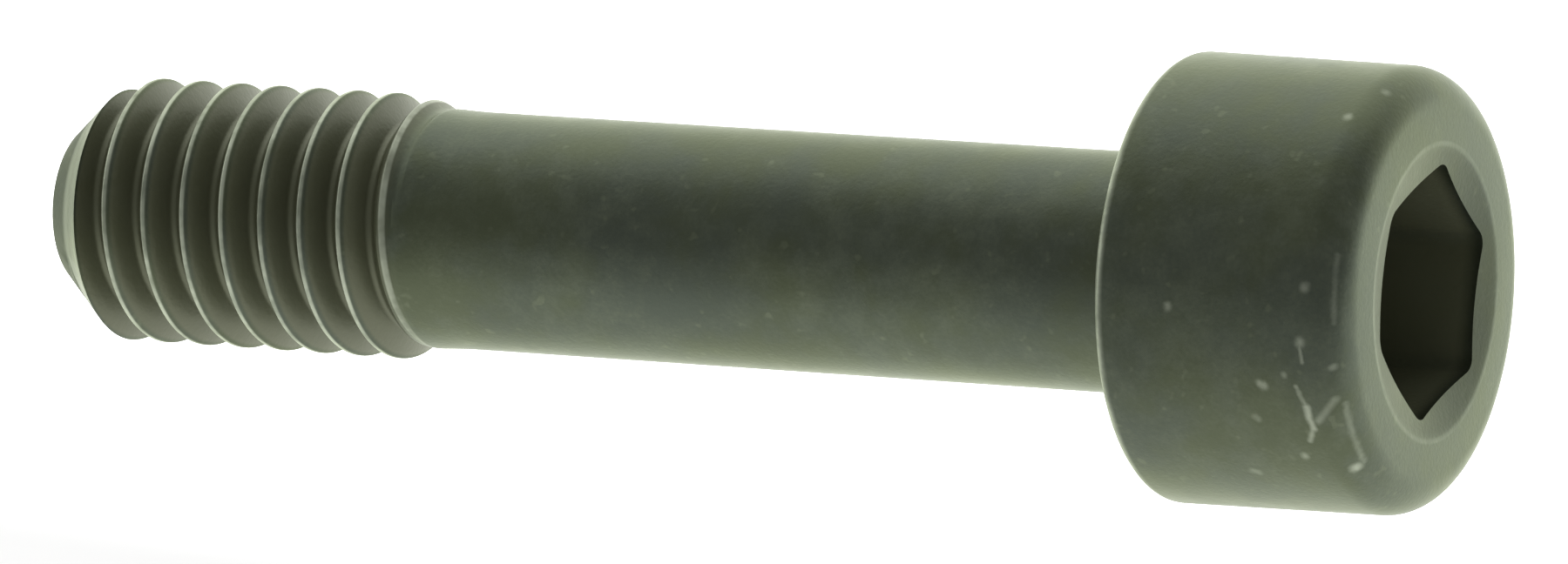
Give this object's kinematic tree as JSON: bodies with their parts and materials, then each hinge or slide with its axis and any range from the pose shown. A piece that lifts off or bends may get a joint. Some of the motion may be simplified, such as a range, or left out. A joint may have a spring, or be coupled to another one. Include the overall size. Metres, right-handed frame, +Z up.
{
  "type": "socket head cap screw",
  "caption": "Hexagon socket head cap screw with a cylindrical head, plain reduced shank, short coarse thread and chamfered tip, dark phosphate finish.",
  "frame": {"origin": "on the floor that the screw lies on, under the middle of its overall length", "axes": "+X towards the head, +Z up; the screw's own axis rises towards the head by about 4.3 degrees from +X, in the XZ plane, because it rests on the rim of its head and on its thread"},
  "size_m": [0.034, 0.01, 0.0103],
  "materials": {
    "phosphated_steel": "matt olive-black phosphate over steel"
  },
  "bodies": {
    "root": {"cap_screw": "phosphated_steel"}
  },
  "joints": []
}
